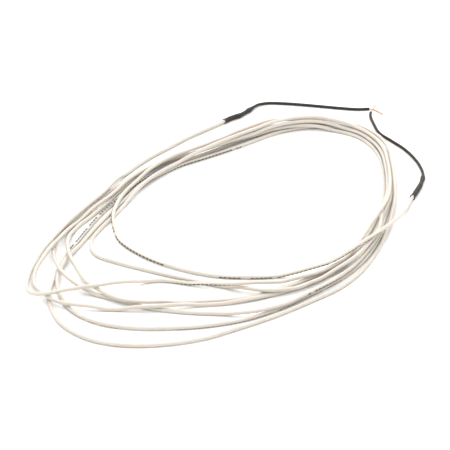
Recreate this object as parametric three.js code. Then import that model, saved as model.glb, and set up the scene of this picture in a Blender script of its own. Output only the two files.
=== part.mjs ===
// A long heater wire with a black lead spliced to each end, lying on a level surface in a loose oval coil.
import * as THREE from 'three'

// Sizes across the pieces, in millimetres. A bore's flats stand clear of what runs through it, so
// its corners lie further out.
const cableRadius = 1.5
const conductorRadius = 0.55
const fitGap = 0.25
const sleeveWall = 0.2
const leadWall = 0.33
const sides = 8
const sleeveBore = (cableRadius + fitGap) / Math.cos(Math.PI / sides)
const leadBore = (conductorRadius + fitGap) / Math.cos(Math.PI / sides)
const sleeveRadius = sleeveBore + sleeveWall
const leadRadius = leadBore + leadWall

// Lengths along the wire, in millimetres.
const bareLength = 14
const leadLengthA = 118
const leadLengthB = 122
const sleeveLength = 34
const sleeveGrip = 13

// How the wire lies: the room left between two strands that touch, and the shape of a hump.
const strandGap = 0.45
const humpRadius = 100
const humpSlope = 0.2
const nearestContact = 40
const sampleStep = 4
const settledWithin = 0.001
const longestStep = 12
const largestTurn = THREE.MathUtils.degToRad(12)

// The route seen from above, first lead to last. Each point is x and y in millimetres.
const firstLead = [
  [137, 165], [129, 172], [115, 172], [100, 174], [83, 177], [65, 180], [48, 182], [37, 182],
  [30, 179], [23, 171], [14, 161], [6, 156], [-2, 149], [-13, 140], [-30, 126], [-46, 110],
  [-62, 94], [-74, 79],
]
const lastLead = [
  [149, 29], [155, 42], [160, 54], [163, 67], [162, 81], [158, 94], [151, 108], [142, 120],
  [132, 133], [128, 148], [126, 162], [128, 169], [132, 178],
]

// Each turn spreads by itself round the left and the front, from the back left to the right.
const openStretches = [
  [[-86, 61], [-97, 38], [-109, 19], [-122, -3], [-134, -28], [-143, -48], [-148, -68], [-148, -88],
    [-143, -100], [-131, -101], [-114, -94], [-95, -91], [-71, -82], [-49, -76], [-23, -81],
    [4, -88], [30, -85], [49, -79], [68, -72], [84, -61], [98, -46]],
  [[-90, 5], [-98, -10], [-103, -23], [-103, -35], [-98, -44], [-80, -54], [-61, -62], [-38, -71],
    [-15, -79], [8, -86], [30, -93], [49, -91], [65, -82], [83, -70], [99, -57], [112, -38],
    [121, -19]],
  [[-93, 31], [-106, 15], [-118, -3], [-128, -29], [-137, -51], [-143, -67], [-143, -82],
    [-132, -100], [-117, -109], [-96, -111], [-74, -112], [-48, -112], [-22, -107], [4, -104],
    [26, -98], [49, -88], [68, -77], [86, -64], [101, -51], [114, -30]],
  [[-94, 27], [-106, 8], [-116, -7], [-121, -25], [-119, -48], [-112, -66], [-100, -85],
    [-84, -100], [-63, -107], [-37, -104], [-11, -102], [11, -99], [32, -92], [53, -81], [72, -68],
    [90, -54], [104, -36], [114, -13]],
  [[-95, 41], [-108, 20], [-120, 1], [-129, -16], [-132, -35], [-126, -66], [-115, -82],
    [-100, -92], [-80, -100], [-56, -110], [-30, -115], [-4, -117], [22, -118], [44, -110],
    [63, -96], [80, -82], [97, -64], [111, -41], [121, -19]],
  [[-91, 12], [-101, -7], [-112, -31], [-122, -55], [-126, -78], [-122, -97], [-111, -115],
    [-92, -128], [-66, -134], [-36, -134], [-11, -131], [15, -124], [37, -113], [60, -97], [79, -82],
    [95, -67], [110, -46], [122, -19]],
  [[-91, 24], [-102, 3], [-113, -23], [-122, -46], [-128, -70], [-131, -95], [-127, -114],
    [-118, -131], [-98, -147], [-72, -154], [-43, -153], [-14, -146], [11, -134], [37, -120],
    [63, -103], [86, -86], [102, -68], [117, -41], [127, -15]],
  [[-81, 36], [-86, 20], [-88, 4], [-86, -11], [-81, -25], [-70, -38], [-52, -52], [-30, -63],
    [-8, -70], [15, -72], [38, -71], [61, -68], [84, -60], [105, -44], [122, -26], [135, -6],
    [144, 14]],
]

// Round the right and the back the turns run together, outward from this line.
const bundleLine = [
  [121, 10], [127, 29], [130, 50], [131, 74], [129, 97], [123, 114], [113, 127], [99, 135],
  [81, 140], [62, 138], [42, 131], [23, 119], [3, 106], [-17, 94], [-36, 82], [-53, 66], [-67, 48],
]

// How far out each turn lies from that line at seven places along it, counted in strands side by side.
const laneWidth = 3.75
const bundleLanes = [
  [1.5, 1, 1, 1, 1, 0.3, 0],
  [1.1, 0.5, 0.5, 0.5, 0.5, 1.4, 3.3],
  [1.7, 1.5, 1.5, 1.5, 1.7, 2.5, 3.6],
  [0.3, 0, 0, 0, 1, 2.2, 4.7],
  [1.9, 1, 1, 1, 0, 0, 0.8],
  [2.7, 1.8, 2, 2, 2, 1, 1.7],
  [3.2, 1.7, 2.2, 2.5, 1.8, 1.5, 1.7],
]

// The last of the wire lies over all the rest. Elsewhere an earlier strand lies over a later one.
const topLength = 1120

function valueAlong (values, share) {
  const place = share * (values.length - 1)
  const index = Math.min(Math.floor(place), values.length - 2)
  return THREE.MathUtils.lerp(values[index], values[index + 1], place - index)
}

function bundlePass (lanes) {
  const last = bundleLine.length - 1
  return bundleLine.map(([x, y], index) => {
    const [beforeX, beforeY] = bundleLine[Math.max(index - 1, 0)]
    const [afterX, afterY] = bundleLine[Math.min(index + 1, last)]
    const outward = new THREE.Vector2(afterY - beforeY, beforeX - afterX)
    outward.setLength(laneWidth * valueAlong(lanes, index / last))
    return [x + outward.x, y + outward.y]
  })
}

function planOfRoute () {
  const turns = openStretches.map((stretch, turn) => {
    const pass = turn < bundleLanes.length ? bundlePass(bundleLanes[turn]) : []
    return [...stretch, ...pass]
  })
  return [...firstLead, ...turns.flat(), ...lastLead].map(([x, y]) => new THREE.Vector3(x, y, 0))
}

// The wire's own pieces, as the stretch of the route that each takes.
const plan = new THREE.CatmullRomCurve3(planOfRoute())
plan.arcLengthDivisions = 8000
const routeLength = plan.getLength()
const leadEndA = bareLength + leadLengthA
const sleeveStartA = leadEndA - sleeveGrip
const sleeveEndA = sleeveStartA + sleeveLength
const cableStart = sleeveEndA - sleeveGrip
const leadEndB = routeLength - bareLength - leadLengthB
const sleeveEndB = leadEndB + sleeveGrip
const sleeveStartB = sleeveEndB - sleeveLength
const cableEnd = sleeveStartB + sleeveGrip

function radiusAt (length) {
  if (length < bareLength || length > routeLength - bareLength) return conductorRadius
  if (length < sleeveStartA || length > sleeveEndB) return leadRadius
  if (length < sleeveEndA || length > sleeveStartB) return sleeveRadius
  return cableRadius
}

// Every strand lies on the floor, or on the strands that run under it.
function restingPairs (points, radii, step) {
  const pairs = []
  const nearest = Math.ceil(nearestContact / step)
  const topFrom = points.length - Math.round(topLength / step)
  for (let later = nearest; later < points.length; later += 1) {
    for (let earlier = 0; earlier < later - nearest; earlier += 1) {
      const reach = radii[later] + radii[earlier] + strandGap
      if (points[later].distanceTo(points[earlier]) > reach + step) continue
      const [upper, lower] = later < topFrom ? [earlier, later] : [later, earlier]
      const next = Math.min(lower + 1, points.length - 1)
      const along = new THREE.Line3(points[lower], points[next])
      const closest = along.closestPointToPoint(points[upper], true, new THREE.Vector3())
      const aside = closest.distanceTo(points[upper])
      if (aside < reach) pairs.push({ upper, lower, next, lift: Math.sqrt(reach ** 2 - aside ** 2) })
    }
  }
  return pairs
}

function humpDrop (away) {
  const knee = humpSlope * humpRadius
  return away < knee ? away ** 2 / (2 * humpRadius) : humpSlope * (away - knee / 2)
}

function settledHeights (points, radii, step) {
  const pairs = restingPairs(points, radii, step)
  let heights = [...radii]
  for (let settling = true; settling;) {
    const needed = [...radii]
    for (const { upper, lower, next, lift } of pairs) {
      const under = Math.max(heights[lower], heights[next])
      needed[upper] = Math.max(needed[upper], under + lift)
    }
    const tallest = Math.max(...needed)
    const span = Math.ceil((tallest / humpSlope + humpSlope * humpRadius) / step)
    const settled = needed.map((_, index) => {
      let height = needed[index]
      for (let away = 1; away <= span; away += 1) {
        const drop = humpDrop(away * step)
        height = Math.max(height, (needed[index - away] ?? 0) - drop, (needed[index + away] ?? 0) - drop)
      }
      return height
    })
    settling = settled.some((height, index) => Math.abs(height - heights[index]) > settledWithin)
    heights = settled
  }
  return heights
}

const sampleCount = Math.round(routeLength / sampleStep)
const samples = plan.getSpacedPoints(sampleCount)
const spacing = routeLength / sampleCount
const sampleRadii = samples.map((_, index) => radiusAt(index * spacing))
const heights = settledHeights(samples, sampleRadii, spacing)
samples.forEach((point, index) => point.setZ(heights[index]))

function pointAt (length) {
  const place = THREE.MathUtils.clamp(length / spacing, 0, sampleCount)
  const index = Math.min(Math.floor(place), sampleCount - 1)
  return new THREE.Vector3().lerpVectors(samples[index], samples[index + 1], place - index)
}

// The lengths along the route where the tubes have a ring of corners, closer together in a tight bend.
function ringLengths () {
  const cuts = [
    0, bareLength, sleeveStartA, leadEndA, cableStart, sleeveEndA,
    sleeveStartB, cableEnd, leadEndB, sleeveEndB, routeLength - bareLength, routeLength,
  ]
  const rings = [...cuts]
  let last = 0
  for (let index = 2; index < sampleCount - 1; index += 1) {
    const length = index * spacing
    const heading = samples[index + 1].clone().sub(samples[index])
    const lastHeading = pointAt(last + spacing).sub(pointAt(last))
    const bent = heading.angleTo(lastHeading) > largestTurn || length - last >= longestStep
    if (cuts.some(cut => Math.abs(cut - length) < spacing)) {
      last = length
    } else if (bent) {
      rings.push(length)
      last = length
    }
  }
  return rings.sort((first, second) => first - second)
}

const rings = ringLengths()

// A path whose steps fall on its own points, so that each ring of corners sits where it was placed.
class RingPath extends THREE.Curve {
  constructor (points) {
    super()
    this.points = points
  }

  getUtoTmapping (share) {
    return share
  }

  getPoint (share, target = new THREE.Vector3()) {
    const place = share * (this.points.length - 1)
    const index = Math.min(Math.floor(place), this.points.length - 2)
    return target.lerpVectors(this.points[index], this.points[index + 1], place - index)
  }
}

function ringOfCorners (radius) {
  return Array.from({ length: sides }, (_, side) => {
    const angle = (side + 0.5) * 2 * Math.PI / sides
    return new THREE.Vector2(radius * Math.cos(angle), radius * Math.sin(angle))
  })
}

function section (radius, bore) {
  const shape = new THREE.Shape(ringOfCorners(radius))
  if (bore) shape.holes.push(new THREE.Path(ringOfCorners(bore)))
  return shape
}

const group = new THREE.Group()

function addTube (name, shape, start, end, look) {
  const lengths = rings.filter(length => length >= start && length <= end)
  const path = new RingPath(lengths.map(pointAt))
  const geometry = new THREE.ExtrudeGeometry(shape, {
    extrudePath: path,
    steps: lengths.length - 1,
  })
  const mesh = new THREE.Mesh(geometry, new THREE.MeshStandardMaterial(look))
  mesh.name = name
  group.add(mesh)
}

const silicone = { color: '#e9e2d6', roughness: 0.5, metalness: 0 }
const sleeveBlack = { color: '#262422', roughness: 0.6, metalness: 0 }
const leadBlack = { color: '#1d1b1a', roughness: 0.45, metalness: 0 }
const copper = { color: '#c4764c', roughness: 0.35, metalness: 1 }

addTube('heating_cable', section(cableRadius), cableStart, cableEnd, silicone)
addTube('splice_sleeve_a', section(sleeveRadius, sleeveBore), sleeveStartA, sleeveEndA, sleeveBlack)
addTube('splice_sleeve_b', section(sleeveRadius, sleeveBore), sleeveStartB, sleeveEndB, sleeveBlack)
addTube('lead_insulation_a', section(leadRadius, leadBore), bareLength, leadEndA, leadBlack)
addTube('lead_insulation_b', section(leadRadius, leadBore), leadEndB, routeLength - bareLength, leadBlack)
addTube('conductor_a', section(conductorRadius), 0, leadEndA, copper)
addTube('conductor_b', section(conductorRadius), leadEndB, routeLength, copper)

// The part stands on the origin, in the middle of its own outline.
const box = new THREE.Box3().setFromObject(group)
const middle = box.getCenter(new THREE.Vector3()).setZ(box.min.z)
for (const mesh of group.children) {
  mesh.geometry.translate(-middle.x, -middle.y, -middle.z)
}

export default group
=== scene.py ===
import bmesh
import bpy
import math
import numpy as np
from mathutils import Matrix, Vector


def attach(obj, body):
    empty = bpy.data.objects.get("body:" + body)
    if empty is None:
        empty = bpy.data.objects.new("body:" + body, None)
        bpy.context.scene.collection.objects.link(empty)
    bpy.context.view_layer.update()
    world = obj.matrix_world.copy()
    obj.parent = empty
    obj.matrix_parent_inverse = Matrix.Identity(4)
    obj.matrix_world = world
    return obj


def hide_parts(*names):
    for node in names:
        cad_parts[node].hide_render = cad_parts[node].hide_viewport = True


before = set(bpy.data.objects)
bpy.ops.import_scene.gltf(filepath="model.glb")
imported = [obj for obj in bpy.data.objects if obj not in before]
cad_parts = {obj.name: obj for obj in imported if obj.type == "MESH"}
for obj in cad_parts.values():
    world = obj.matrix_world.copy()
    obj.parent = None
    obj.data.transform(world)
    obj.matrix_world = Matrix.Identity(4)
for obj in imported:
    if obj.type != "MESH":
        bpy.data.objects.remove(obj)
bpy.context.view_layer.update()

# Camera. The coil lies on a table and is seen from its front at 35 degrees above the surface, from
# about a metre and a half away through a long lens, so that far strands look a little thinner.
plan_middle = Vector((0.00737, 0.01373, 0.0))
camera_distance = 1.45
camera_elevation = math.radians(35)
camera_lens = 146.8
camera_data = bpy.data.cameras.new("photo_view")
camera_data.lens = camera_lens
camera_data.sensor_width = 36
camera_data.clip_start = 0.05
camera_data.clip_end = 20
camera = bpy.data.objects.new("photo_view", camera_data)
bpy.context.collection.objects.link(camera)
camera.location = -plan_middle + camera_distance * Vector(
    (0, -math.cos(camera_elevation), math.sin(camera_elevation))
)
camera_data.shift_x = 0.0018
camera_data.shift_y = -0.0018
camera.rotation_euler = (math.pi / 2 - camera_elevation, 0, 0)
bpy.context.scene.camera = camera

# Heating cable. A thin resistance wire in a soft white silicone jacket, 3 mm across and over six
# metres long. It was wound off in eight loose turns, which spread at the left and the front and
# run together round the right and the back, and it is held by nothing but its own weight.
cable_diameter = 0.003
first_lead_route = [
    (0.137, 0.165), (0.129, 0.172), (0.115, 0.172), (0.100, 0.174), (0.083, 0.177), (0.065, 0.180),
    (0.048, 0.182), (0.037, 0.182), (0.030, 0.179), (0.023, 0.171), (0.014, 0.161), (0.006, 0.156),
    (-0.002, 0.149), (-0.013, 0.140), (-0.030, 0.126), (-0.046, 0.110), (-0.062, 0.094),
    (-0.074, 0.079),
]
last_lead_route = [
    (0.149, 0.029), (0.155, 0.042), (0.160, 0.054), (0.163, 0.067), (0.162, 0.081), (0.158, 0.094),
    (0.151, 0.108), (0.142, 0.120), (0.132, 0.133), (0.128, 0.148), (0.126, 0.162), (0.128, 0.169),
    (0.132, 0.178),
]
open_stretches = [
    [
        (-0.086, 0.061), (-0.097, 0.038), (-0.109, 0.019), (-0.122, -0.003), (-0.134, -0.028),
        (-0.143, -0.048), (-0.148, -0.068), (-0.148, -0.088), (-0.143, -0.100), (-0.131, -0.101),
        (-0.114, -0.094), (-0.095, -0.091), (-0.071, -0.082), (-0.049, -0.076), (-0.023, -0.081),
        (0.004, -0.088), (0.030, -0.085), (0.049, -0.079), (0.068, -0.072), (0.084, -0.061),
        (0.098, -0.046),
    ],
    [
        (-0.090, 0.005), (-0.098, -0.010), (-0.103, -0.023), (-0.103, -0.035), (-0.098, -0.044),
        (-0.080, -0.054), (-0.061, -0.062), (-0.038, -0.071), (-0.015, -0.079), (0.008, -0.086),
        (0.030, -0.093), (0.049, -0.091), (0.065, -0.082), (0.083, -0.070), (0.099, -0.057),
        (0.112, -0.038), (0.121, -0.019),
    ],
    [
        (-0.093, 0.031), (-0.106, 0.015), (-0.118, -0.003), (-0.128, -0.029), (-0.137, -0.051),
        (-0.143, -0.067), (-0.143, -0.082), (-0.132, -0.100), (-0.117, -0.109), (-0.096, -0.111),
        (-0.074, -0.112), (-0.048, -0.112), (-0.022, -0.107), (0.004, -0.104), (0.026, -0.098),
        (0.049, -0.088), (0.068, -0.077), (0.086, -0.064), (0.101, -0.051), (0.114, -0.030),
    ],
    [
        (-0.094, 0.027), (-0.106, 0.008), (-0.116, -0.007), (-0.121, -0.025), (-0.119, -0.048),
        (-0.112, -0.066), (-0.100, -0.085), (-0.084, -0.100), (-0.063, -0.107), (-0.037, -0.104),
        (-0.011, -0.102), (0.011, -0.099), (0.032, -0.092), (0.053, -0.081), (0.072, -0.068),
        (0.090, -0.054), (0.104, -0.036), (0.114, -0.013),
    ],
    [
        (-0.095, 0.041), (-0.108, 0.020), (-0.120, 0.001), (-0.129, -0.016), (-0.132, -0.035),
        (-0.126, -0.066), (-0.115, -0.082), (-0.100, -0.092), (-0.080, -0.100), (-0.056, -0.110),
        (-0.030, -0.115), (-0.004, -0.117), (0.022, -0.118), (0.044, -0.110), (0.063, -0.096),
        (0.080, -0.082), (0.097, -0.064), (0.111, -0.041), (0.121, -0.019),
    ],
    [
        (-0.091, 0.012), (-0.101, -0.007), (-0.112, -0.031), (-0.122, -0.055), (-0.126, -0.078),
        (-0.122, -0.097), (-0.111, -0.115), (-0.092, -0.128), (-0.066, -0.134), (-0.036, -0.134),
        (-0.011, -0.131), (0.015, -0.124), (0.037, -0.113), (0.060, -0.097), (0.079, -0.082),
        (0.095, -0.067), (0.110, -0.046), (0.122, -0.019),
    ],
    [
        (-0.091, 0.024), (-0.102, 0.003), (-0.113, -0.023), (-0.122, -0.046), (-0.128, -0.070),
        (-0.131, -0.095), (-0.127, -0.114), (-0.118, -0.131), (-0.098, -0.147), (-0.072, -0.154),
        (-0.043, -0.153), (-0.014, -0.146), (0.011, -0.134), (0.037, -0.120), (0.063, -0.103),
        (0.086, -0.086), (0.102, -0.068), (0.117, -0.041), (0.127, -0.015),
    ],
    [
        (-0.081, 0.036), (-0.086, 0.020), (-0.088, 0.004), (-0.086, -0.011), (-0.081, -0.025),
        (-0.070, -0.038), (-0.052, -0.052), (-0.030, -0.063), (-0.008, -0.070), (0.015, -0.072),
        (0.038, -0.071), (0.061, -0.068), (0.084, -0.060), (0.105, -0.044), (0.122, -0.026),
        (0.135, -0.006), (0.144, 0.014),
    ],
]
bundle_line = [
    (0.121, 0.010), (0.127, 0.029), (0.130, 0.050), (0.131, 0.074), (0.129, 0.097), (0.123, 0.114),
    (0.113, 0.127), (0.099, 0.135), (0.081, 0.140), (0.062, 0.138), (0.042, 0.131), (0.023, 0.119),
    (0.003, 0.106), (-0.017, 0.094), (-0.036, 0.082), (-0.053, 0.066), (-0.067, 0.048),
]
lane_width = 0.00375
bundle_lanes = [
    (1.5, 1, 1, 1, 1, 0.3, 0),
    (1.1, 0.5, 0.5, 0.5, 0.5, 1.4, 3.3),
    (1.7, 1.5, 1.5, 1.5, 1.7, 2.5, 3.6),
    (0.3, 0, 0, 0, 1, 2.2, 4.7),
    (1.9, 1, 1, 1, 0, 0, 0.8),
    (2.7, 1.8, 2, 2, 2, 1, 1.7),
    (3.2, 1.7, 2.2, 2.5, 1.8, 1.5, 1.7),
]


def bundle_pass(lanes):
    """One pass round the right and the back: the bundle's line, moved outward by the lanes."""
    line = np.array(bundle_line)
    run = np.gradient(line, axis=0)
    outward = np.stack([run[:, 1], -run[:, 0]], axis=1)
    outward /= np.linalg.norm(outward, axis=1)[:, None]
    places = np.linspace(0, len(lanes) - 1, len(line))
    return line + outward * (lane_width * np.interp(places, range(len(lanes)), lanes))[:, None]


def smooth_plan(points, per_span):
    """Centripetal spline through the points, as lengths along it and places on it."""
    ends = np.vstack([2 * points[0] - points[1], points, 2 * points[-1] - points[-2]])
    pieces = []
    for first, a, b, last in zip(ends, ends[1:], ends[2:], ends[3:]):
        t1 = math.sqrt(np.linalg.norm(a - first))
        t2 = t1 + math.sqrt(np.linalg.norm(b - a))
        t3 = t2 + math.sqrt(np.linalg.norm(last - b))
        t = np.linspace(t1, t2, per_span, endpoint=False)[:, None]
        a1 = (t1 - t) / t1 * first + t / t1 * a
        a2 = (t2 - t) / (t2 - t1) * a + (t - t1) / (t2 - t1) * b
        a3 = (t3 - t) / (t3 - t2) * b + (t - t2) / (t3 - t2) * last
        b1 = (t2 - t) / t2 * a1 + t / t2 * a2
        b2 = (t3 - t) / (t3 - t1) * a2 + (t - t1) / (t3 - t1) * a3
        pieces.append((t2 - t) / (t2 - t1) * b1 + (t - t1) / (t2 - t1) * b2)
    places = np.vstack(pieces + [points[-1:]])
    steps = np.linalg.norm(np.diff(places, axis=0), axis=1)
    return np.concatenate([[0], np.cumsum(steps)]), places


route_points = [np.array(first_lead_route)]
for turn, stretch in enumerate(open_stretches):
    route_points.append(np.array(stretch))
    if turn < len(bundle_lanes):
        route_points.append(bundle_pass(bundle_lanes[turn]))
route_points.append(np.array(last_lead_route))
spline_steps = 24
plan_lengths, plan_places = smooth_plan(np.vstack(route_points), spline_steps)
route_length = plan_lengths[-1]

# The stretch that each piece of the wire takes, from the first copper tip to the last.
bare_length = 0.014
lead_length_a = 0.118
lead_length_b = 0.122
sleeve_length = 0.034
sleeve_grip = 0.013
conductor_diameter = 0.0011
lead_diameter = 0.0024
sleeve_diameter = 0.0042
lead_end_a = bare_length + lead_length_a
sleeve_start_a = lead_end_a - sleeve_grip
sleeve_end_a = sleeve_start_a + sleeve_length
cable_start = sleeve_end_a - sleeve_grip
lead_end_b = route_length - bare_length - lead_length_b
sleeve_end_b = lead_end_b + sleeve_grip
sleeve_start_b = sleeve_end_b - sleeve_length
cable_end = sleeve_start_b + sleeve_grip

# Each strand lies on the table or on the strands under it, and passes over them in a long low hump.
strand_gap = 0.00045
nearest_contact = 0.04
top_length = 1.12
hump_radius = 0.1
hump_slope = 0.2
tallest_pile = 0.03
most_rounds = 60
settled_within = 1e-6
sample_step = 0.004
sample_count = round(route_length / sample_step)
sample_lengths = np.linspace(0, route_length, sample_count + 1)
samples = np.stack(
    [np.interp(sample_lengths, plan_lengths, plan_places[:, k]) for k in (0, 1)], axis=1
)
spacing = sample_lengths[1]
sample_radii = np.full(sample_count + 1, cable_diameter / 2)
sample_radii[(sample_lengths < sleeve_end_a) | (sample_lengths > sleeve_start_b)] = sleeve_diameter / 2
sample_radii[(sample_lengths < sleeve_start_a) | (sample_lengths > sleeve_end_b)] = lead_diameter / 2
sample_radii[
    (sample_lengths < bare_length) | (sample_lengths > route_length - bare_length)
] = conductor_diameter / 2


def resting_pairs():
    """Every place where one strand crosses or leans on another, and how far it is lifted there."""
    nearest = math.ceil(nearest_contact / spacing)
    top_from = len(samples) - round(top_length / spacing)
    found = []
    for later in range(nearest, len(samples)):
        earlier = np.arange(later - nearest)
        reach = sample_radii[later] + sample_radii[earlier] + strand_gap
        away = np.linalg.norm(samples[earlier] - samples[later], axis=1)
        for other in earlier[away <= reach + spacing]:
            upper, lower = (other, later) if later < top_from else (later, other)
            after = min(lower + 1, len(samples) - 1)
            along = samples[after] - samples[lower]
            span = along @ along
            share = np.clip((samples[upper] - samples[lower]) @ along / span, 0, 1) if span else 0
            aside = np.linalg.norm(samples[upper] - samples[lower] - along * share)
            room = sample_radii[later] + sample_radii[other] + strand_gap
            if aside < room:
                found.append((upper, lower, after, math.sqrt(room**2 - aside**2)))
    return found


def settled_heights():
    """The height of every sample, once every strand has come down as far as it can."""
    pairs = resting_pairs()
    upper, lower, after = (np.array([pair[k] for pair in pairs]) for k in range(3))
    lift = np.array([pair[3] for pair in pairs])
    knee = hump_slope * hump_radius
    span = math.ceil((tallest_pile / hump_slope + knee) / spacing)
    away = np.arange(1, span + 1) * spacing
    drops = np.where(away < knee, away**2 / (2 * hump_radius), hump_slope * (away - knee / 2))
    heights = sample_radii.copy()
    for settling in range(most_rounds):
        needed = sample_radii.copy()
        np.maximum.at(needed, upper, np.maximum(heights[lower], heights[after]) + lift)
        settled = needed.copy()
        for steps, drop in enumerate(drops, start=1):
            settled[steps:] = np.maximum(settled[steps:], needed[:-steps] - drop)
            settled[:-steps] = np.maximum(settled[:-steps], needed[steps:] - drop)
        moved = np.abs(settled - heights).max()
        heights = settled
        if moved < settled_within:
            break
    return heights


sample_heights = settled_heights()


def wire_line(start, end, step):
    """Points on the wire's centreline from one length to another, a short step apart."""
    lengths = np.linspace(start, end, max(2, round((end - start) / step) + 1))
    x = np.interp(lengths, plan_lengths, plan_places[:, 0]) - plan_middle.x
    y = np.interp(lengths, plan_lengths, plan_places[:, 1]) - plan_middle.y
    z = np.interp(lengths, sample_lengths, sample_heights)
    return lengths, np.stack([x, y, z], axis=1)


def across(line):
    """The level direction to the right of a line, and the direction up from it, at every point."""
    run = np.gradient(line, axis=0)
    run /= np.linalg.norm(run, axis=1)[:, None]
    side = np.cross(run, (0, 0, 1))
    side /= np.linalg.norm(side, axis=1)[:, None]
    return side, np.cross(side, run)


seam_reach = 0.05


def drawn_tube(name, line, radii, sides, turn=0.0, uv_start=0.0, closed=True):
    """A tube round a line, with its UV map in metres along it and in shares of a turn."""
    radii = np.broadcast_to(radii, len(line))
    turn = np.broadcast_to(turn, len(line))
    side, up = across(line)
    lengths = np.concatenate([[0], np.cumsum(np.linalg.norm(np.diff(line, axis=0), axis=1))])
    mesh = bpy.data.meshes.new(name)
    tube = bmesh.new()
    tube.loops.layers.uv.new("along_and_round")
    bmesh.ops.create_grid(tube, x_segments=len(line) - 1, y_segments=sides, size=1, calc_uvs=True)
    uv = tube.loops.layers.uv.active
    for face in tube.faces:
        for loop in face.loops:
            share_along = (loop.vert.co.x + 1) / 2
            share_round = (loop.vert.co.y + 1) / 2
            ring = round(share_along * (len(line) - 1))
            loop[uv].uv = (uv_start + lengths[ring], share_round)
    for vertex in tube.verts:
        ring = round((vertex.co.x + 1) / 2 * (len(line) - 1))
        angle = turn[ring] + 2 * math.pi * ((vertex.co.y + 1) / 2 - 0.5)
        reach = radii[ring] * (math.cos(angle) * side[ring] + math.sin(angle) * up[ring])
        vertex.co = Vector(line[ring] + reach)
    bmesh.ops.remove_doubles(tube, verts=tube.verts, dist=radii.min() * seam_reach)
    if closed:
        rims = [edge for edge in tube.edges if edge.is_boundary]
        bmesh.ops.holes_fill(tube, edges=rims, sides=sides)
    bmesh.ops.recalc_face_normals(tube, faces=tube.faces)
    for face in tube.faces:
        face.smooth = len(face.verts) == 4
    tube.to_mesh(mesh)
    tube.free()
    piece = bpy.data.objects.new(name, mesh)
    bpy.context.collection.objects.link(piece)
    return piece


def finish_material(name, roughness):
    """A fresh material, its node tree and its shader."""
    material = bpy.data.materials.new(name)
    material.use_nodes = True
    tree = material.node_tree
    shader = tree.nodes["Principled BSDF"]
    shader.inputs["Roughness"].default_value = roughness
    return material, tree, shader


def math_node(tree, operation, first, second=None):
    """One sum, product or comparison of two sockets or numbers."""
    node = tree.nodes.new("ShaderNodeMath")
    node.operation = operation
    for socket, value in zip(node.inputs, (first, second)):
        if isinstance(value, bpy.types.NodeSocket):
            tree.links.new(value, socket)
        elif value is not None:
            socket.default_value = value
    return node.outputs[0]


def mixed_colour(tree, share, first, second):
    """A blend of two colours, each a socket or four numbers."""
    node = tree.nodes.new("ShaderNodeMix")
    node.data_type = "RGBA"
    tree.links.new(share, node.inputs["Factor"])
    for socket, value in zip((node.inputs[6], node.inputs[7]), (first, second)):
        if isinstance(value, bpy.types.NodeSocket):
            tree.links.new(value, socket)
        else:
            socket.default_value = value
    return node.outputs[2]


def surface_noise(tree, scale, detail):
    """Noise through the piece's own space."""
    place = tree.nodes.new("ShaderNodeTexCoord")
    noise = tree.nodes.new("ShaderNodeTexNoise")
    noise.inputs["Scale"].default_value = scale
    noise.inputs["Detail"].default_value = detail
    tree.links.new(place.outputs["Object"], noise.inputs["Vector"])
    return noise.outputs["Fac"]


def tube_position(tree):
    """How far along its tube a point lies, in metres, and how far round it, as a share of a turn."""
    uv = tree.nodes.new("ShaderNodeUVMap")
    uv.uv_map = "along_and_round"
    parts = tree.nodes.new("ShaderNodeSeparateXYZ")
    tree.links.new(uv.outputs["UV"], parts.inputs["Vector"])
    return parts.outputs["X"], parts.outputs["Y"]


def raised(tree, shader, height, depth, strength):
    """A bump on the shader, from a height between 0 and 1 and its depth in metres."""
    bump = tree.nodes.new("ShaderNodeBump")
    bump.inputs["Strength"].default_value = strength
    bump.inputs["Distance"].default_value = depth
    tree.links.new(height, bump.inputs["Height"])
    tree.links.new(bump.outputs["Normal"], shader.inputs["Normal"])


silicone_light = (0.635, 0.606, 0.560, 1)
silicone_warm = (0.540, 0.498, 0.442, 1)
ink_grey = (0.018, 0.015, 0.014, 1)
silicone, tree, shader = finish_material("white_silicone", roughness=0.42)
shader.inputs["Subsurface Weight"].default_value = 0.55
shader.inputs["Subsurface Radius"].default_value = (0.0030, 0.0021, 0.0014)
shader.inputs["Subsurface Scale"].default_value = 1.0
shader.inputs["Specular IOR Level"].default_value = 0.35
shader.inputs["Coat Weight"].default_value = 0.06
shader.inputs["Coat Roughness"].default_value = 0.25
jacket_tone = surface_noise(tree, scale=45, detail=3)
jacket = mixed_colour(tree, jacket_tone, silicone_light, silicone_warm)

# The printed legend along the jacket is a row of plain dashes, grouped in words and phrases.
phrase_start = 0.172
phrase_pitch = 0.184
phrase_share = 0.77
word_pitch = 0.0034
word_share = 0.80
mark_pitch = 0.00105
mark_share = 0.93
blank_word_chance = 0.08
line_middle = 0.5
line_half_width = 0.095
worn_off_below = 0.3
ink_cover = 0.96
along, around = tube_position(tree)


def repeated(start, pitch, share):
    """One along the first share of every pitch from a start, and nought along the rest."""
    shifted = math_node(tree, "SUBTRACT", along, start)
    place = math_node(tree, "FRACT", math_node(tree, "DIVIDE", shifted, pitch))
    return math_node(tree, "LESS_THAN", place, share)


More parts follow.
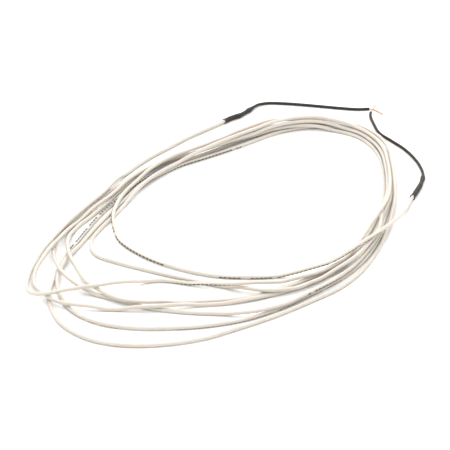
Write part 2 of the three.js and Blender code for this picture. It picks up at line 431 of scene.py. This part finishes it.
word_number = math_node(tree, "FLOOR", math_node(tree, "DIVIDE", along, word_pitch))
chance = tree.nodes.new("ShaderNodeTexWhiteNoise")
chance.noise_dimensions = "1D"
tree.links.new(word_number, chance.inputs["W"])
off_line = math_node(tree, "ABSOLUTE", math_node(tree, "SUBTRACT", around, line_middle))
ink_noise = surface_noise(tree, scale=2600, detail=2)
inked = math_node(tree, "GREATER_THAN", chance.outputs["Value"], blank_word_chance)
for condition in (
    repeated(phrase_start, phrase_pitch, phrase_share),
    repeated(0, word_pitch, word_share),
    repeated(0, mark_pitch, mark_share),
    math_node(tree, "LESS_THAN", off_line, line_half_width),
    math_node(tree, "GREATER_THAN", ink_noise, worn_off_below),
):
    inked = math_node(tree, "MULTIPLY", inked, condition)
ink_share = math_node(tree, "MULTIPLY", inked, ink_cover)
tree.links.new(mixed_colour(tree, ink_share, jacket, ink_grey), shader.inputs["Base Color"])
raised(tree, shader, surface_noise(tree, scale=900, detail=3), depth=0.00006, strength=0.35)

cable_sides = 16
ring_step = 0.003
# Where the printed line lies: the length from the first copper tip, and the angle in degrees up
# from the wire's right-hand side. At -90 the line is underneath.
print_turns = [
    (0.0, -90), (0.55, -90), (0.575, -20), (0.597, -20), (0.63, -90), (3.77, -90), (3.823, -12),
    (3.851, -12), (3.91, -90), (4.14, -90), (4.223, -168), (4.265, -168), (4.34, -90), (5.04, 0),
    (5.15, 120), (5.18, 110), (5.23, 80), (5.284, 74), (5.32, -90), (6.04, -70), (6.095, 0),
    (6.119, 25), (6.17, 5), (6.236, -18), (6.273, -26), (6.33, -20), (6.37, -30), (6.46, -90),
    (7.0, -90),
]
cable_lengths, cable_line = wire_line(cable_start, cable_end, ring_step)
cable_turn = np.radians(np.interp(cable_lengths, *zip(*print_turns)))
cable = drawn_tube(
    "heating_cable_jacket", cable_line, cable_diameter / 2, cable_sides,
    turn=cable_turn, uv_start=cable_start,
)
cable.data.materials.append(silicone)
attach(cable, "root")
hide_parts("heating_cable")

# Leads. Two short flexible leads with a smooth black rubber jacket, 2.4 mm across, one spliced to
# each end of the heating cable, and cut back to bare copper at their free ends.
rubber_black = (0.020, 0.0165, 0.0135, 1)
rubber_worn = (0.038, 0.032, 0.027, 1)
rubber, tree, shader = finish_material("black_rubber", roughness=0.45)
shader.inputs["Specular IOR Level"].default_value = 0.24
lead_tone = surface_noise(tree, scale=220, detail=4)
tree.links.new(mixed_colour(tree, lead_tone, rubber_black, rubber_worn), shader.inputs["Base Color"])
raised(tree, shader, surface_noise(tree, scale=1400, detail=3), depth=0.00004, strength=0.3)
lead_sides = 20
lead_step = 0.0015
for letter, start, end in (
    ("a", bare_length, lead_end_a),
    ("b", lead_end_b, route_length - bare_length),
):
    line = wire_line(start, end, lead_step)[1]
    lead = drawn_tube(f"lead_jacket_{letter}", line, lead_diameter / 2, lead_sides)
    lead.data.materials.append(rubber)
    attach(lead, "root")
    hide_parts(f"lead_insulation_{letter}")

# Conductors. Each lead carries seven fine copper strands, six of them laid round the middle one.
# They run the whole length of the lead, and stand 14 mm out of its cut end.
copper_clean = (0.74, 0.50, 0.38, 1)
copper_dull = (0.50, 0.31, 0.23, 1)
copper, tree, shader = finish_material("bare_copper", roughness=0.3)
shader.inputs["Metallic"].default_value = 0.9
copper_tone = surface_noise(tree, scale=700, detail=3)
tree.links.new(mixed_colour(tree, copper_tone, copper_clean, copper_dull), shader.inputs["Base Color"])
raised(tree, shader, surface_noise(tree, scale=3000, detail=2), depth=0.00002, strength=0.4)
outer_strands = 6
strand_diameter = conductor_diameter / 3
strand_lay = 0.011
strand_sides = 8
strand_step = 0.001


def stranded(name, start, end):
    """The twisted strands and the middle one in one piece, from a length of the wire to another."""
    lengths, line = wire_line(start, end, strand_step)
    side, up = across(line)
    bundle = bmesh.new()
    for strand in range(outer_strands + 1):
        twist = 2 * math.pi * ((lengths - start) / strand_lay + strand / outer_strands)
        reach = 0 if strand == outer_strands else strand_diameter
        offset = reach * (np.cos(twist)[:, None] * side + np.sin(twist)[:, None] * up)
        one = drawn_tube(f"{name}_{strand}", line + offset, strand_diameter / 2, strand_sides)
        bundle.from_mesh(one.data)
        bpy.data.objects.remove(one)
    mesh = bpy.data.meshes.new(name)
    bundle.to_mesh(mesh)
    bundle.free()
    piece = bpy.data.objects.new(name, mesh)
    bpy.context.collection.objects.link(piece)
    return piece


for letter, start, end in (("a", 0, lead_end_a), ("b", lead_end_b, route_length)):
    conductor = stranded(f"copper_strands_{letter}", start, end)
    conductor.data.materials.append(copper)
    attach(conductor, "root")
    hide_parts(f"conductor_{letter}")

# Splice sleeves. A length of black tubing is shrunk over each splice between lead and heating
# cable. It grips both jackets, is open at both ends, and shows the bumps of what is joined inside.
# The tubing is near black, with a painted highlight: its colour is lighter on the rib crests, where the
# ribs catch the light, and is mottled at random.
sleeve_black = (0.013, 0.0105, 0.009, 1)
sleeve_rib_highlight = (0.048, 0.039, 0.033, 1)
shrunk, tree, shader = finish_material("shrunk_tubing", roughness=0.5)
shader.inputs["Specular IOR Level"].default_value = 0.28
ribs_along = 160
ribs_round = 16
rib_highlight_gain = 2.2
along, around = tube_position(tree)
ribs = tree.nodes.new("ShaderNodeTexNoise")
ribs.inputs["Scale"].default_value = 1.0
ribs.inputs["Detail"].default_value = 3.0
stretched = tree.nodes.new("ShaderNodeCombineXYZ")
tree.links.new(math_node(tree, "MULTIPLY", along, ribs_along), stretched.inputs["X"])
tree.links.new(math_node(tree, "MULTIPLY", around, ribs_round), stretched.inputs["Y"])
tree.links.new(stretched.outputs["Vector"], ribs.inputs["Vector"])
# Painted highlight: the colour is lighter where the ribs rise, and a second noise mottles it.
rib_highlight_mottle = math_node(
    tree, "MULTIPLY", ribs.outputs["Fac"], surface_noise(tree, scale=500, detail=4)
)
rib_highlight_mottle = math_node(tree, "MULTIPLY", rib_highlight_mottle, rib_highlight_gain)
tree.links.new(mixed_colour(tree, rib_highlight_mottle, sleeve_black, sleeve_rib_highlight), shader.inputs["Base Color"])
raised(tree, shader, ribs.outputs["Fac"], depth=0.0003, strength=0.6)
sleeve_wall = 0.00022
sleeve_sides = 32
sleeve_step = 0.0007
# The sleeve's radius at shares of its length, from its mouth on the cable to its mouth on the lead.
sleeve_profile_a = [
    (0.0, 0.00220), (0.05, 0.00206), (0.16, 0.00200), (0.34, 0.00208), (0.47, 0.00220), (0.55, 0.00186),
    (0.64, 0.00160), (0.74, 0.00186), (0.85, 0.00206), (0.92, 0.00186), (0.96, 0.00154), (1.0, 0.00150),
]
sleeve_profile_b = [
    (0.0, 0.00224), (0.05, 0.00204), (0.18, 0.00206), (0.34, 0.00218), (0.45, 0.00194), (0.54, 0.00208),
    (0.64, 0.00176), (0.73, 0.00158), (0.84, 0.00192), (0.92, 0.00206), (0.96, 0.00162), (1.0, 0.00150),
]
notch_reach = 0.006
notch_depth_a = 0.0005
notch_depth_b = 0.0022
lump_height = 0.00014
lump_wave = 900
lump_skew = Vector((3, 4, 5))
table_clearance = 0.00003


def shrunk_sleeve(letter, start, end, profile, notch_depth):
    """One sleeve: its wall follows the profile, is a little lumpy, and is notched at the cable."""
    lengths, line = wire_line(start, end, sleeve_step)
    share = (lengths - start) / sleeve_length
    share = 1 - share if letter == "a" else share
    radii = np.interp(share, *zip(*profile))
    sleeve = drawn_tube(f"shrunk_sleeve_{letter}", line, radii, sleeve_sides, closed=False)
    mouth, inward = (line[-1], line[-2] - line[-1]) if letter == "a" else (line[0], line[1] - line[0])
    inward = Vector(inward).normalized()
    middles = [Vector(point) for point in line]
    for vertex in sleeve.data.vertices:
        near = min(middles, key=lambda point: (point - vertex.co).length_squared)
        outward = (vertex.co - near).normalized()
        from_mouth = (vertex.co - Vector(mouth)).dot(inward)
        wave_along = math.sin(lump_wave * from_mouth + lump_skew.x * outward.x)
        wave_round = math.sin(lump_skew.z * outward.z + lump_skew.y * outward.y)
        lump = wave_along * wave_round
        vertex.co += outward * lump_height * lump
        if from_mouth < notch_reach:
            fade = 1 - max(from_mouth, 0) / notch_reach
            vertex.co += inward * notch_depth * fade * max(outward.z, 0) ** 3
        vertex.co.z = max(vertex.co.z, table_clearance)
    wall = sleeve.modifiers.new("tubing_wall", "SOLIDIFY")
    wall.thickness = sleeve_wall
    wall.offset = -1
    sleeve.data.materials.append(shrunk)
    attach(sleeve, "root")
    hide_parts(f"splice_sleeve_{letter}")
    return sleeve


sleeve_a = shrunk_sleeve("a", sleeve_start_a, sleeve_end_a, sleeve_profile_a, notch_depth_a)
sleeve_b = shrunk_sleeve("b", sleeve_start_b, sleeve_end_b, sleeve_profile_b, notch_depth_b)

# Table top and light. The coil lies on a plain white sheet in a pale room. One wide soft lamp is
# above and behind it, and a weak one in front fills the near side of every strand.
table_reach = 3
table_drop = 0.0001
floor_mesh = bpy.data.meshes.new("white_table")
floor_shape = bmesh.new()
bmesh.ops.create_grid(floor_shape, x_segments=1, y_segments=1, size=table_reach)
bmesh.ops.translate(floor_shape, verts=floor_shape.verts, vec=(0, 0, -table_drop))
floor_shape.to_mesh(floor_mesh)
floor_shape.free()
table_top = bpy.data.objects.new("white_table", floor_mesh)
bpy.context.collection.objects.link(table_top)
paper, tree, shader = finish_material("white_paper", roughness=0.85)
paper_white = (0.90, 0.90, 0.90, 1)
paper_shade = (0.88, 0.88, 0.88, 1)
paper_tone = surface_noise(tree, scale=3, detail=2)
tree.links.new(mixed_colour(tree, paper_tone, paper_white, paper_shade), shader.inputs["Base Color"])
shader.inputs["Specular IOR Level"].default_value = 0.1
table_top.data.materials.append(paper)


def soft_lamp(name, place, size, power):
    """A square area lamp that faces the middle of the coil."""
    lamp = bpy.data.lights.new(name, "AREA")
    lamp.shape = "SQUARE"
    lamp.size = size
    lamp.energy = power
    holder = bpy.data.objects.new(name, lamp)
    bpy.context.collection.objects.link(holder)
    holder.location = place
    holder.rotation_euler = (-Vector(place)).to_track_quat("-Z", "Y").to_euler()


soft_lamp("lamp_above", place=(0.0, 1.0, 2.0), size=4.0, power=98)
soft_lamp("lamp_front", place=(0.0, -2.0, 1.3), size=2.6, power=11)
world = bpy.data.worlds.new("pale_room")
world.use_nodes = True
world.node_tree.nodes["Background"].inputs["Color"].default_value = (1.0, 0.99, 0.97, 1)
world.node_tree.nodes["Background"].inputs["Strength"].default_value = 0.85
bpy.context.scene.world = world
bpy.context.scene.view_settings.view_transform = "Standard"
